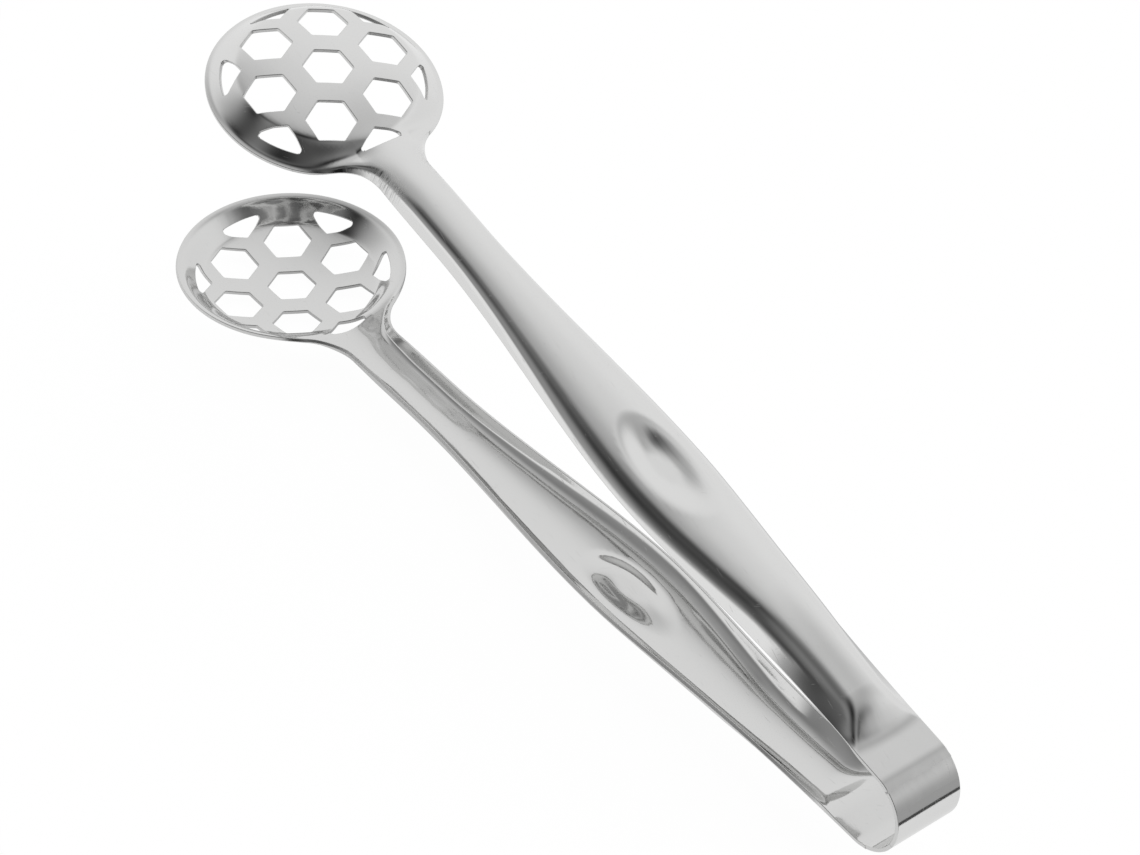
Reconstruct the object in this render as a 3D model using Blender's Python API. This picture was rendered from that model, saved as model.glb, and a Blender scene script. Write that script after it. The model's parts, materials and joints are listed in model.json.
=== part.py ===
"""Steak tongs pressed from one strip of stainless sheet.

A round spring bow joins two mirrored arms. Each arm is a pressed channel: flat where it leaves the
bow, then an arched grip with a thumb dimple, a narrow neck, and a round dished head punched with a
honeycomb. The strip flexes at the crease on either side of the bow, so bow and arms are three pieces
here, and each arm turns about its crease.

Metres, +Z up. The heads point to -X, the bow to +X, and the tongs lie on the back of the lower arm.
"""

import math

import bmesh
import bpy

MM = 0.001

# Sheet
SHEET = 0.9 * MM
JOINT_GAP = 0.5 * MM

# Spring bow
BOW_RADIUS = 10.72 * MM
BOW_WIDTH = 17.6 * MM
CREASE_ANGLE = math.radians(14.2)
BOW_SEGMENTS = 22

# Arm, measured from the crease towards the head
ARM_SPLAY = math.radians(4.3)
ARM_KICK = math.radians(1.6)
KICK_AT = 80.0 * MM
KICK_BLEND = 30.0 * MM
HEAD_AT = 202.9 * MM
FLAT_LENGTH = 6.0 * MM
RUN_OUT_LENGTH = 12.0 * MM
RUN_OUT_POWER = 3.0
REAR_FLANK_END = 46.0 * MM
GRIP_AT = 80.0 * MM
GRIP_WIDTH = 24.2 * MM
GRIP_SWELL_POWER = 1.7
NECK_AT = 151.0 * MM
NECK_WIDTH = 14.3 * MM

# Channel section: a crown arc, a shoulder arc on each side and a straight flange
REAR_CROWN_ANGLE = math.radians(7.0)
CROWN_ANGLE = math.radians(20.0)
REAR_SHOULDER_RADIUS = 6.0 * MM
GRIP_SHOULDER_RADIUS = 7.5 * MM
NECK_SHOULDER_RADIUS = 3.7 * MM
REAR_FLANK_ANGLE = math.radians(35.0)
GRIP_FLANK_ANGLE = math.radians(61.0)
NECK_FLANK_ANGLE = math.radians(68.0)
REAR_FLANGE = 4.0 * MM
GRIP_FLANGE = 0.4 * MM
NECK_FLANGE = 2.3 * MM

# Thumb dimple
DIMPLE_AT = 80.8 * MM
DIMPLE_LENGTH = 31.5 * MM
DIMPLE_WIDTH = 15.0 * MM
DIMPLE_DEPTH = 2.1 * MM
DIMPLE_DEEPEN_SHARE = 0.35
DIMPLE_FLOOR_SHARE = 0.25

# Head, a circle drawn in along the arm: a flat dome, a wall that falls from it and a narrow brim
HEAD_ALONG_SHARE = 0.93
HEAD_RADIUS = 27.5 * MM
DOME_RADIUS = 88.0 * MM
DOME_HEIGHT = 5.9 * MM
WALL_ANGLE = math.radians(43.0)
WALL_SOFTNESS = 0.5 * MM
BRIM_WIDTH = 1.1 * MM
BRIM_ANGLE = math.radians(10.0)
BRIM_DROP = 1.6 * MM
BRIM_SOFTNESS = 0.4 * MM
HEAD_OFFSET = 0.7 * MM
NECK_FILLET = 11.0 * MM
HEAD_BLEND_LENGTH = 42.0 * MM
HEAD_BLEND_SOFTNESS = 2.0 * MM
HEAD_BLEND_SINK = 14.0 * MM
TIP_ARC_ANGLE = math.radians(52.0)

# Honeycomb, sized by the field of holes inside the head's plain band
FIELD_BAND = 3.7 * MM
FIELD_RADIUS = HEAD_RADIUS - FIELD_BAND
RING_MARGIN = 3.175 * MM
HOLE_WEB = 5.25 * MM
HOLE_PITCH = (FIELD_RADIUS - RING_MARGIN + HOLE_WEB / 2.0) / 1.5
HOLE_FLATS = HOLE_PITCH - HOLE_WEB
HOLE_CORNER = 0.6 * MM
RIM_HOLE_DEPTH = 4.4 * MM
RIM_HOLE_AT = FIELD_RADIUS - RIM_HOLE_DEPTH
RIM_HOLE_CORNER = 0.55 * MM
CORNER_SEGMENTS = 2
FIELD_ARC_SEGMENTS = 3
CUTTER_HEIGHT = 30.0 * MM

# Mesh density
COLUMN_SHARES = (0.0, 0.15, 0.29, 0.41, 0.52, 0.62, 0.71, 0.79, 0.87, 0.94, 1.0)
ROW_PITCH = 4.5 * MM
DIMPLE_ROW_PITCH = 2.4 * MM
HEAD_ROWS = 18
TILT_PASSES = 8

# Finish
STEEL_COLOUR = (0.60, 0.60, 0.59, 1.0)
STEEL_ROUGHNESS = 0.22

HEX_SIDES = 6
FULL_TURN = 2.0 * math.pi


def ramp(value, start, end):
    """0 before start, 1 after end, smooth between."""
    share = min(max((value - start) / (end - start), 0.0), 1.0)
    return share * share * (3.0 - 2.0 * share)


def blend(low, high, share):
    return low + (high - low) * share


def smooth_max(first, second, softness):
    return 0.5 * (first + second + math.sqrt((first - second) ** 2 + softness ** 2))


def along_arm(at, rear, grip, neck):
    """A value that runs from rear to grip to neck along the arm."""
    if at < GRIP_AT:
        return blend(rear, grip, ramp(at, FLAT_LENGTH, GRIP_AT))
    return blend(grip, neck, ramp(at, GRIP_AT, NECK_AT))


def strip_half_width(at):
    """Half the width of the pressed strip, before the fillet into the head."""
    if at < GRIP_AT:
        share = (at / GRIP_AT) ** GRIP_SWELL_POWER
        width = blend(BOW_WIDTH, GRIP_WIDTH, ramp(share, 0.0, 1.0))
    else:
        width = blend(GRIP_WIDTH, NECK_WIDTH, ramp(at, GRIP_AT, NECK_AT))
    return width / 2.0


def kick(at):
    """How far the edge line is bent outward ahead of the grip."""
    over = at - KICK_AT
    if over <= -KICK_BLEND / 2.0:
        return 0.0
    if over < KICK_BLEND / 2.0:
        return math.tan(ARM_KICK) * (over + KICK_BLEND / 2.0) ** 2 / (2.0 * KICK_BLEND)
    return math.tan(ARM_KICK) * over


def flank_angle(at):
    """Slope of the flanks, which steepen early towards the grip."""
    if at < GRIP_AT:
        return blend(REAR_FLANK_ANGLE, GRIP_FLANK_ANGLE, ramp(at, FLAT_LENGTH, REAR_FLANK_END))
    return blend(GRIP_FLANK_ANGLE, NECK_FLANK_ANGLE, ramp(at, GRIP_AT, NECK_AT))


def channel_height(at, across, half_width):
    """Height of the arched section above its edges."""
    rise = ramp(at, FLAT_LENGTH, FLAT_LENGTH + RUN_OUT_LENGTH)
    lean = 1.0 - (1.0 - rise) ** RUN_OUT_POWER
    flank = lean * flank_angle(at)
    if flank == 0.0:
        return 0.0
    radius = along_arm(at, REAR_SHOULDER_RADIUS, GRIP_SHOULDER_RADIUS, NECK_SHOULDER_RADIUS)
    flange = rise * along_arm(at, REAR_FLANGE, GRIP_FLANGE, NECK_FLANGE)
    crown = min(lean * along_arm(at, REAR_CROWN_ANGLE, CROWN_ANGLE, CROWN_ANGLE), flank / 2.0)
    flange_run = flange * math.cos(flank)
    shoulder_run = radius * (math.sin(flank) - math.sin(crown))
    crown_run = half_width - flange_run - shoulder_run
    crown_radius = crown_run / math.sin(crown)
    flange_height = flange * math.sin(flank)
    shoulder_height = radius * (math.cos(crown) - math.cos(flank))
    side = min(abs(across), half_width)
    if side > half_width - flange_run:
        return (half_width - side) * math.tan(flank)
    if side > crown_run:
        angle = math.asin((side - crown_run) / radius + math.sin(crown))
        return flange_height + radius * (math.cos(angle) - math.cos(flank))
    arc = math.sqrt(crown_radius ** 2 - side ** 2) - crown_radius * math.cos(crown)
    return flange_height + shoulder_height + arc


def dimple_drop(at, across, height):
    """How far the thumb dimple lowers the crown, deepest at its end nearer the head."""
    ahead = (at - DIMPLE_AT) / (DIMPLE_LENGTH / 2.0)
    reach = math.hypot(ahead, across / (DIMPLE_WIDTH / 2.0))
    if reach >= 1.0:
        return 0.0
    crown = channel_height(DIMPLE_AT, 0.0, strip_half_width(DIMPLE_AT))
    floor = crown - DIMPLE_DEPTH * (1.0 + DIMPLE_DEEPEN_SHARE * ahead)
    return max(height - floor, 0.0) * (1.0 - ramp(reach, DIMPLE_FLOOR_SHARE, 1.0))


def dish_height(at, across):
    """Height of the head above the arm's edges: the dome, then the wall, then the brim."""
    radius = min(math.hypot((at - HEAD_AT) / HEAD_ALONG_SHARE, across), DOME_RADIUS)
    dome = DOME_HEIGHT - DOME_RADIUS + math.sqrt(DOME_RADIUS ** 2 - radius ** 2)
    brim = (HEAD_RADIUS - radius) * math.tan(BRIM_ANGLE) - BRIM_DROP
    foot = BRIM_WIDTH * math.tan(BRIM_ANGLE) - BRIM_DROP
    wall = foot + (HEAD_RADIUS - BRIM_WIDTH - radius) * math.tan(WALL_ANGLE)
    return -smooth_max(-dome, -smooth_max(wall, brim, BRIM_SOFTNESS), WALL_SOFTNESS)


def pressed_height(at, across, half_width):
    """Height of the outer face above the arm's own base line."""
    height = channel_height(at, across, half_width)
    height -= dimple_drop(at, across, height)
    blend_start = HEAD_AT - HEAD_BLEND_LENGTH
    if at > blend_start:
        rim_start = HEAD_AT - HEAD_RADIUS
        softness = HEAD_BLEND_SOFTNESS * ramp(at, blend_start, rim_start)
        channel = height * (1.0 - ramp(at, blend_start, HEAD_AT))
        onto_head = ramp(at, rim_start, HEAD_AT)
        side_share = min(abs(across) / (NECK_WIDTH / 2.0), 1.0)
        channel -= HEAD_BLEND_SINK * onto_head * blend(side_share ** 2, 1.0, onto_head)
        height = smooth_max(channel, dish_height(at, across), softness)
    return height + kick(at)


def fillet_centre():
    """Centre of the +Y fillet that joins the neck to the head, about the head's centre."""
    across = NECK_WIDTH / 2.0 + NECK_FILLET
    back = math.sqrt((HEAD_RADIUS + NECK_FILLET) ** 2 - across ** 2)
    return -back, across


def head_offset(at):
    """How far the head is pressed off the line of the arm, which the honeycomb keeps."""
    neck_end = HEAD_AT + HEAD_ALONG_SHARE * fillet_centre()[0]
    return -HEAD_OFFSET * ramp(at, neck_end, HEAD_AT - HEAD_RADIUS / 2.0)


def side_outline():
    """The +Y outline from the start of the fillet to the front corner, about the head's centre."""
    centre_ahead, centre_across = fillet_centre()
    meet = math.atan2(centre_across, -centre_ahead)
    fillet_arc = math.pi / 2.0 - meet
    rim_arc = math.pi - meet - TIP_ARC_ANGLE
    fillet_length = NECK_FILLET * fillet_arc
    whole = fillet_length + HEAD_RADIUS * rim_arc
    points = []
    for row in range(HEAD_ROWS + 1):
        run = whole * row / HEAD_ROWS
        if run < fillet_length:
            turn = run / NECK_FILLET
            ahead = centre_ahead + NECK_FILLET * math.sin(turn)
            across = centre_across - NECK_FILLET * math.cos(turn)
        else:
            turn = math.pi - meet - (run - fillet_length) / HEAD_RADIUS
            ahead = HEAD_RADIUS * math.cos(turn)
            across = HEAD_RADIUS * math.sin(turn)
        points.append((ahead, across))
    return points


def column_shares():
    return [-share for share in reversed(COLUMN_SHARES[1:])] + list(COLUMN_SHARES)


def strip_rows(end):
    """Stations along the straight part of the arm, closest together over the dimple."""
    dimple_start = DIMPLE_AT - DIMPLE_LENGTH / 2.0
    dimple_end = DIMPLE_AT + DIMPLE_LENGTH / 2.0
    spans = (
        (JOINT_GAP / 2.0, dimple_start, ROW_PITCH),
        (dimple_start, dimple_end, DIMPLE_ROW_PITCH),
        (dimple_end, end, ROW_PITCH),
    )
    stations = []
    for start, finish, pitch in spans:
        count = math.ceil((finish - start) / pitch)
        stations += [blend(start, finish, step / count) for step in range(count)]
    return stations


def arm_rows():
    """Rows of (along, across, half width) over the arm and its head."""
    shares = column_shares()
    outline = side_outline()
    rows = []
    neck_end = HEAD_AT + HEAD_ALONG_SHARE * outline[0][0]
    for at in strip_rows(neck_end):
        half = strip_half_width(at)
        rows.append([(at, share * half, half) for share in shares])
    tip_half = HEAD_RADIUS * math.sin(TIP_ARC_ANGLE)
    neck_half = NECK_WIDTH / 2.0
    for index, (side_ahead, side_across) in enumerate(outline):
        share_along = index / HEAD_ROWS
        corner = blend(neck_half, tip_half, share_along)
        row = []
        for share in shares:
            bulge = math.cos(TIP_ARC_ANGLE * share) - math.cos(TIP_ARC_ANGLE)
            ahead = side_ahead + share_along * HEAD_RADIUS * bulge
            at = HEAD_AT + HEAD_ALONG_SHARE * ahead
            tip_across = HEAD_RADIUS * math.sin(TIP_ARC_ANGLE * share)
            across = blend(neck_half * share, tip_across, share_along)
            across += share * (side_across - corner)
            row.append((at, across, max(side_across, neck_half)))
        rows.append(row)
    return rows


def add_sheet(mesh_name, rows):
    """A mesh of quads through rows of points, facing up when rows run along +X."""
    mesh = bpy.data.meshes.new(mesh_name)
    work = bmesh.new()
    grid = [[work.verts.new(point) for point in row] for row in rows]
    for near, far in zip(grid, grid[1:]):
        for index in range(len(near) - 1):
            work.faces.new((near[index], far[index], far[index + 1], near[index + 1]))
    work.to_mesh(mesh)
    work.free()
    mesh.shade_smooth()
    return mesh


def arm_mesh():
    rows = [
        [(at, across + head_offset(at), pressed_height(at, across, half)) for at, across, half in row]
        for row in arm_rows()
    ]
    return add_sheet("pressed_arm", rows)


def bow_mesh():
    """The bow's outer face, in the plane of the creases, with its nose towards +X."""
    gap_angle = JOINT_GAP / 2.0 / BOW_RADIUS
    start = CREASE_ANGLE + gap_angle
    sweep = math.pi - 2.0 * start
    rows = []
    for index in range(BOW_SEGMENTS + 1):
        angle = start + sweep * index / BOW_SEGMENTS
        along = BOW_RADIUS * (math.sin(angle) - math.sin(CREASE_ANGLE))
        height = BOW_RADIUS * math.cos(angle)
        rows.append([(along, side * BOW_WIDTH / 2.0, height) for side in (-1.0, 0.0, 1.0)])
    return add_sheet("bow_strip", rows)


def rounded_outline(corners, radii):
    """A closed outline with each corner rounded to its own radius."""
    points = []
    count = len(corners)
    for index, (corner, radius) in enumerate(zip(corners, radii)):
        if radius == 0.0:
            points.append(corner)
            continue
        before, after = corners[index - 1], corners[(index + 1) % count]
        to_before = math.atan2(before[1] - corner[1], before[0] - corner[0])
        to_after = math.atan2(after[1] - corner[1], after[0] - corner[0])
        opening = (to_before - to_after) % FULL_TURN
        middle = to_after + opening / 2.0
        reach = radius / math.sin(opening / 2.0)
        centre = (corner[0] + reach * math.cos(middle), corner[1] + reach * math.sin(middle))
        turn = math.pi - opening
        for step in range(CORNER_SEGMENTS + 1):
            angle = middle + math.pi + turn * (step / CORNER_SEGMENTS - 0.5)
            points.append(
                (centre[0] + radius * math.cos(angle), centre[1] + radius * math.sin(angle))
            )
    return points


def full_hole(centre):
    """A hexagonal hole with two corners on the line of the arm."""
    size = HOLE_FLATS / math.sqrt(3.0)
    corners = []
    for side in range(HEX_SIDES):
        angle = FULL_TURN * side / HEX_SIDES
        corners.append((centre[0] + size * math.cos(angle), centre[1] + size * math.sin(angle)))
    return rounded_outline(corners, [HOLE_CORNER] * HEX_SIDES)


def rim_hole(direction):
    """The inner corner of a hexagon of the next ring, closed by the edge of the field."""
    side = (math.sqrt(4.0 * FIELD_RADIUS ** 2 - 3.0 * RIM_HOLE_AT ** 2) - RIM_HOLE_AT) / 2.0
    half_angle = math.asin(side * math.sin(math.pi / 3.0) / FIELD_RADIUS)
    corners = [(RIM_HOLE_AT, 0.0)]
    radii = [RIM_HOLE_CORNER]
    for step in range(FIELD_ARC_SEGMENTS + 1):
        angle = half_angle * (2.0 * step / FIELD_ARC_SEGMENTS - 1.0)
        corners.append((FIELD_RADIUS * math.cos(angle), FIELD_RADIUS * math.sin(angle)))
        radii.append(RIM_HOLE_CORNER if step in (0, FIELD_ARC_SEGMENTS) else 0.0)
    turned = []
    for along, across in rounded_outline(corners, radii):
        turned.append(
            (
                along * math.cos(direction) - across * math.sin(direction),
                along * math.sin(direction) + across * math.cos(direction),
            )
        )
    return turned


def honeycomb_outlines():
    """A hole in the middle, a ring of six round it, and six part holes at the rim."""
    outlines = [full_hole((0.0, 0.0))]
    for side in range(HEX_SIDES):
        angle = FULL_TURN * side / HEX_SIDES
        ring_angle = angle + FULL_TURN / HEX_SIDES / 2.0
        centre = (HOLE_PITCH * math.cos(ring_angle), HOLE_PITCH * math.sin(ring_angle))
        outlines.append(full_hole(centre))
        outlines.append(rim_hole(angle))
    return outlines


def cutter_mesh():
    """One upright prism for each hole of the honeycomb."""
    mesh = bpy.data.meshes.new("honeycomb_prisms")
    work = bmesh.new()
    for outline in honeycomb_outlines():
        base = [
            work.verts.new((along * HEAD_ALONG_SHARE, across, -CUTTER_HEIGHT / 2.0))
            for along, across in outline
        ]
        face = work.faces.new(base)
        raised = bmesh.ops.extrude_face_region(work, geom=[face])["geom"]
        verts = [item for item in raised if isinstance(item, bmesh.types.BMVert)]
        bmesh.ops.translate(work, verts=verts, vec=(0.0, 0.0, CUTTER_HEIGHT))
    bmesh.ops.recalc_face_normals(work, faces=work.faces)
    work.to_mesh(mesh)
    work.free()
    return mesh


def steel(name):
    material = bpy.data.materials.new(name)
    material.use_nodes = True
    shader = material.node_tree.nodes["Principled BSDF"]
    shader.inputs["Base Color"].default_value = STEEL_COLOUR
    shader.inputs["Metallic"].default_value = 1.0
    shader.inputs["Roughness"].default_value = STEEL_ROUGHNESS
    return material


def add_object(name, mesh, parent):
    thing = bpy.data.objects.new(name, mesh)
    bpy.context.scene.collection.objects.link(thing)
    thing.parent = parent
    return thing


def thicken(thing):
    wall = thing.modifiers.new("sheet", "SOLIDIFY")
    wall.thickness = SHEET
    wall.offset = -1.0
    wall.use_even_offset = True


def punch(thing, cutter):
    hole = thing.modifiers.new("honeycomb", "BOOLEAN")
    hole.operation = "DIFFERENCE"
    hole.solver = "EXACT"
    hole.object = cutter


def lower_back():
    """Points of the lower arm's back as (distance ahead of the creases, depth below them)."""
    crease = BOW_RADIUS * math.cos(CREASE_ANGLE)
    back = []
    for row in arm_rows():
        for at, across, half in row:
            height = pressed_height(at, across, half)
            ahead = at * math.cos(ARM_SPLAY) - height * math.sin(ARM_SPLAY)
            depth = at * math.sin(ARM_SPLAY) + height * math.cos(ARM_SPLAY)
            back.append((ahead, crease + depth))
    return back


def turned_depth(point, tilt):
    return point[1] * math.cos(tilt) - point[0] * math.sin(tilt)


def resting_place():
    """The turn that lays the lower arm level on its head and grip, with the box centred over zero."""
    back = lower_back()
    head = [point for point in back if point[0] > HEAD_AT - HEAD_RADIUS]
    rear = [point for point in back if point[0] <= HEAD_AT - HEAD_RADIUS]
    tilt = 0.0
    for _ in range(TILT_PASSES):
        low_head = max(head, key=lambda point: turned_depth(point, tilt))
        low_rear = max(rear, key=lambda point: turned_depth(point, tilt))
        tilt = math.atan2(low_head[1] - low_rear[1], low_head[0] - low_rear[0])
    tip = max(ahead * math.cos(tilt) + depth * math.sin(tilt) for ahead, depth in back)
    nose = BOW_RADIUS * (1.0 - math.sin(CREASE_ANGLE) * math.cos(tilt))
    return tilt, (tip - nose) / 2.0, turned_depth(low_head, tilt)


def add_arm(name, mesh, holes, pivot):
    """An arm whose origin is on its crease, with its outer face away from the other arm."""
    arm = add_object(name, mesh, pivot)
    thicken(arm)
    cutter = add_object(name + "_holes", holes, arm)
    cutter.location = (HEAD_AT, 0.0, pressed_height(HEAD_AT, 0.0, HEAD_RADIUS))
    cutter.hide_render = True
    cutter.display_type = "WIRE"
    punch(arm, cutter)
    arm.data.materials.append(steel(name + "_steel"))
    return arm


def add_pivot(name, parent, height):
    pivot = bpy.data.objects.new(name, None)
    bpy.context.scene.collection.objects.link(pivot)
    pivot.parent = parent
    pivot.location = (0.0, 0.0, height)
    return pivot


def build():
    for thing in list(bpy.data.objects):
        bpy.data.objects.remove(thing)

    tilt, along, height = resting_place()
    frame = bpy.data.objects.new("tongs", None)
    bpy.context.scene.collection.objects.link(frame)
    frame.location = (along, 0.0, height)
    frame.rotation_euler = (0.0, tilt, 0.0)

    bow = add_object("spring_bow", bow_mesh(), frame)
    thicken(bow)
    bow.data.materials.append(steel("spring_bow_steel"))

    crease = BOW_RADIUS * math.cos(CREASE_ANGLE)
    upper_pivot = add_pivot("upper_crease", frame, crease)
    upper_pivot.rotation_euler = (0.0, -ARM_SPLAY, math.pi)
    lower_pivot = add_pivot("lower_crease", frame, -crease)
    lower_pivot.rotation_euler = (math.pi, ARM_SPLAY, math.pi)
    holes = cutter_mesh()
    add_arm("upper_arm", arm_mesh(), holes, upper_pivot)
    add_arm("lower_arm", arm_mesh(), holes, lower_pivot)


build()
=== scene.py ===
"""Steak tongs of polished steel: the strip's visible surface, its finish and a white studio."""

import json
import math

import bpy
import numpy as np
from mathutils import Matrix, Quaternion, Vector
from mathutils.geometry import delaunay_2d_cdt


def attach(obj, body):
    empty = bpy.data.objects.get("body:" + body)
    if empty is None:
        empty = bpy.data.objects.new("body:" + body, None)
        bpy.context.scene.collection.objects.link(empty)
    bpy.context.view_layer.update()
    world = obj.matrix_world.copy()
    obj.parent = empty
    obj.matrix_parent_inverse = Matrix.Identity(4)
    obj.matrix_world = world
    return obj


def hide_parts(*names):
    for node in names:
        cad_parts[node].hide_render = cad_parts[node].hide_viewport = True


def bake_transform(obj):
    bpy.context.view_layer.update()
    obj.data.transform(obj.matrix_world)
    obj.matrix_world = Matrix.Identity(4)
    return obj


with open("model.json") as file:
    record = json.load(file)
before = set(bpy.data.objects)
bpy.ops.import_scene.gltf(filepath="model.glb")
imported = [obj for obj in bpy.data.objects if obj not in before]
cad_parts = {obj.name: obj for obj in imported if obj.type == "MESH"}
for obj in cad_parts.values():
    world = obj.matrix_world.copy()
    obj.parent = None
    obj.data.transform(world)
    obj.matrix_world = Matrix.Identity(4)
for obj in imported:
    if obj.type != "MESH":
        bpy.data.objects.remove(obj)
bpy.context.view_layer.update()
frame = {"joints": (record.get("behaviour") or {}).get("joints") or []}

MM = 0.001

# The strip, in the sizes of the solids
SHEET = 0.9 * MM
BOW_RADIUS = 10.72 * MM
BOW_WIDTH = 17.6 * MM
CREASE_ANGLE = math.radians(14.2)
ARM_SPLAY = math.radians(4.3)
ARM_KICK = math.radians(1.6)
KICK_AT = 80.0 * MM
KICK_BLEND = 30.0 * MM
HEAD_AT = 202.9 * MM
FLAT_LENGTH = 6.0 * MM
RUN_OUT_LENGTH = 12.0 * MM
RUN_OUT_POWER = 3.0
REAR_FLANK_END = 46.0 * MM
GRIP_AT = 80.0 * MM
GRIP_WIDTH = 24.2 * MM
GRIP_SWELL_POWER = 1.7
NECK_AT = 151.0 * MM
NECK_WIDTH = 14.3 * MM
CROWN_ANGLES = (math.radians(7.0), math.radians(20.0), math.radians(20.0))
SHOULDER_RADII = (6.0 * MM, 7.5 * MM, 3.7 * MM)
FLANK_ANGLES = (math.radians(35.0), math.radians(61.0), math.radians(68.0))
FLANGES = (4.0 * MM, 0.4 * MM, 2.3 * MM)
LEAST_FLANK = 1e-4
LEAST_CROWN = 1e-5
DIMPLE_AT = 80.8 * MM
DIMPLE_LENGTH = 31.5 * MM
DIMPLE_WIDTH = 15.0 * MM
DIMPLE_DEPTH = 2.1 * MM
DIMPLE_DEEPEN = 0.35
DIMPLE_FLOOR = 0.25
HEAD_ALONG = 0.93
HEAD_RADIUS = 27.5 * MM
DOME_RADIUS = 88.0 * MM
DOME_HEIGHT = 5.9 * MM
WALL_ANGLE = math.radians(43.0)
WALL_SOFTNESS = 0.5 * MM
BRIM_WIDTH = 1.1 * MM
BRIM_ANGLE = math.radians(10.0)
BRIM_DROP = 1.6 * MM
BRIM_SOFTNESS = 0.4 * MM
HEAD_OFFSET = 0.7 * MM
NECK_FILLET = 11.0 * MM
HEAD_BLEND_LENGTH = 42.0 * MM
HEAD_BLEND_SOFTNESS = 2.0 * MM
HEAD_BLEND_SINK = 14.0 * MM
TIP_ARC_ANGLE = math.radians(52.0)
HOLE_PITCH = 15.5 * MM
HOLE_FLATS = 10.25 * MM
HOLE_CORNER = 0.6 * MM
RIM_HOLE_AT = 19.4 * MM
RIM_HOLE_CORNER = 0.55 * MM
FIELD_RADIUS = 23.8 * MM

# Edges and bends of the visible surface, and where its pieces meet on the bow
EDGE_RADIUS = 0.2 * MM
SEAM_RADIUS = 0.01 * MM
CREASE_HALF = 1.1 * MM
SEAM_AT = 2.6 * MM
WALL_TOP = 21.4 * MM
BEND_ROWS = np.array([-0.5, -0.2, 0.0, 0.2, 0.5]) * MM

# How finely the visible surface is divided
TANGENT_STEP = 0.02 * MM
SPINE_END = 12.0 * MM
SPINE_POINTS = 6000
FINE_SIDE_POINTS = 400
SIDE_POINTS = 110
SIDE_ROWS = 64
ROW_PASSES = 12
STRIP_POINTS = 190
TIP_POINTS = 40
SEAM_POINTS = 11
BOW_POINTS = 101
BOW_COLUMNS = 25
CREASE_ZONE = 3.0 * MM
CREASE_STEP = 0.3 * MM
RUN_OUT_STEP = 0.4 * MM
STRIP_STEP = 0.9 * MM
DIMPLE_STEP = 0.55 * MM
STRIP_COLUMNS = 37
STRIP_CROWDING = 0.93
HEAD_COLUMNS = 61
HEAD_CROWDING = 0.85
RING_POINTS = 260
HOLE_STEP = 0.6 * MM
CORNER_STEPS = 5
FIELD_ARC_STEPS = 12
EDGE_SHARES = (0.25, 0.5, 0.75, 1.0)
RIM_GAP = 0.35 * MM
RIM_BATCH = 500
TOLERANCE = 1e-7

# The bow's own frame stands midway between the two hinges, with its height along the line through them
hinges = {joint["child"]: np.array(joint["pos_m"]) for joint in frame["joints"]}
FRAME_AT = (hinges["upper_arm"] + hinges["lower_arm"]) / 2.0
hinge_rise = hinges["upper_arm"] - hinges["lower_arm"]
TURN = np.array(Matrix.Rotation(math.atan2(hinge_rise[0], hinge_rise[2]), 3, "Y"))

SIDES = {"upper_arm": 1.0, "lower_arm": -1.0}


def ramp(value, start, end):
    """0 up to start, 1 from end, smooth between."""
    share = np.clip((value - start) / (end - start), 0.0, 1.0)
    return share * share * (3.0 - 2.0 * share)


def along_arm(at, values):
    """A size that goes from its value at the rear to those at the grip and the neck."""
    rear, grip, neck = values
    to_grip = rear + (grip - rear) * ramp(at, FLAT_LENGTH, GRIP_AT)
    to_neck = grip + (neck - grip) * ramp(at, GRIP_AT, NECK_AT)
    return np.where(at < GRIP_AT, to_grip, to_neck)


def strip_half_width(at):
    """Half the width of the strip from the bow to the neck."""
    share = (np.maximum(at, 0.0) / GRIP_AT) ** GRIP_SWELL_POWER
    rear = BOW_WIDTH + (GRIP_WIDTH - BOW_WIDTH) * ramp(share, 0.0, 1.0)
    front = GRIP_WIDTH + (NECK_WIDTH - GRIP_WIDTH) * ramp(at, GRIP_AT, NECK_AT)
    return np.where(at < GRIP_AT, rear, front) / 2.0


def kick(at):
    """How far the arm's outward bend past the grip lifts it off its straight line."""
    over = at - KICK_AT
    bend = math.tan(ARM_KICK) * (over + KICK_BLEND / 2.0) ** 2 / (2.0 * KICK_BLEND)
    bend = np.where(over < KICK_BLEND / 2.0, bend, math.tan(ARM_KICK) * over)
    return np.where(over <= -KICK_BLEND / 2.0, 0.0, bend)


def flank_angle(at):
    """The slope of the channel's sides."""
    rear, grip, neck = FLANK_ANGLES
    to_grip = rear + (grip - rear) * ramp(at, FLAT_LENGTH, REAR_FLANK_END)
    return np.where(at < GRIP_AT, to_grip, grip + (neck - grip) * ramp(at, GRIP_AT, NECK_AT))


def channel_height(at, across, half_width):
    """Height of the channel above its edges: the crown, then the shoulder, then the flange."""
    rise = ramp(at, FLAT_LENGTH, FLAT_LENGTH + RUN_OUT_LENGTH)
    lean = 1.0 - (1.0 - rise) ** RUN_OUT_POWER
    flank = np.maximum(lean * flank_angle(at), LEAST_FLANK)
    radius = along_arm(at, SHOULDER_RADII)
    flange = rise * along_arm(at, FLANGES)
    crown = np.maximum(lean * along_arm(at, CROWN_ANGLES), LEAST_CROWN)
    crown = np.minimum(crown, flank / 2.0)
    flange_run = flange * np.cos(flank)
    crown_run = half_width - flange_run - radius * (np.sin(flank) - np.sin(crown))
    crown_radius = crown_run / np.sin(crown)
    flange_height = flange * np.sin(flank)
    shoulder_height = radius * (np.cos(crown) - np.cos(flank))
    side = np.minimum(np.abs(across), half_width)
    on_flange = (half_width - side) * np.tan(flank)
    turn = np.arcsin(np.clip((side - crown_run) / radius + np.sin(crown), 0.0, np.sin(flank)))
    on_shoulder = flange_height + radius * (np.cos(turn) - np.cos(flank))
    arc = np.sqrt(np.maximum(crown_radius ** 2 - side ** 2, 0.0)) - crown_radius * np.cos(crown)
    height = np.where(side > crown_run, on_shoulder, flange_height + shoulder_height + arc)
    height = np.where(side > half_width - flange_run, on_flange, height)
    return np.where(rise > 0.0, height, 0.0)


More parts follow.
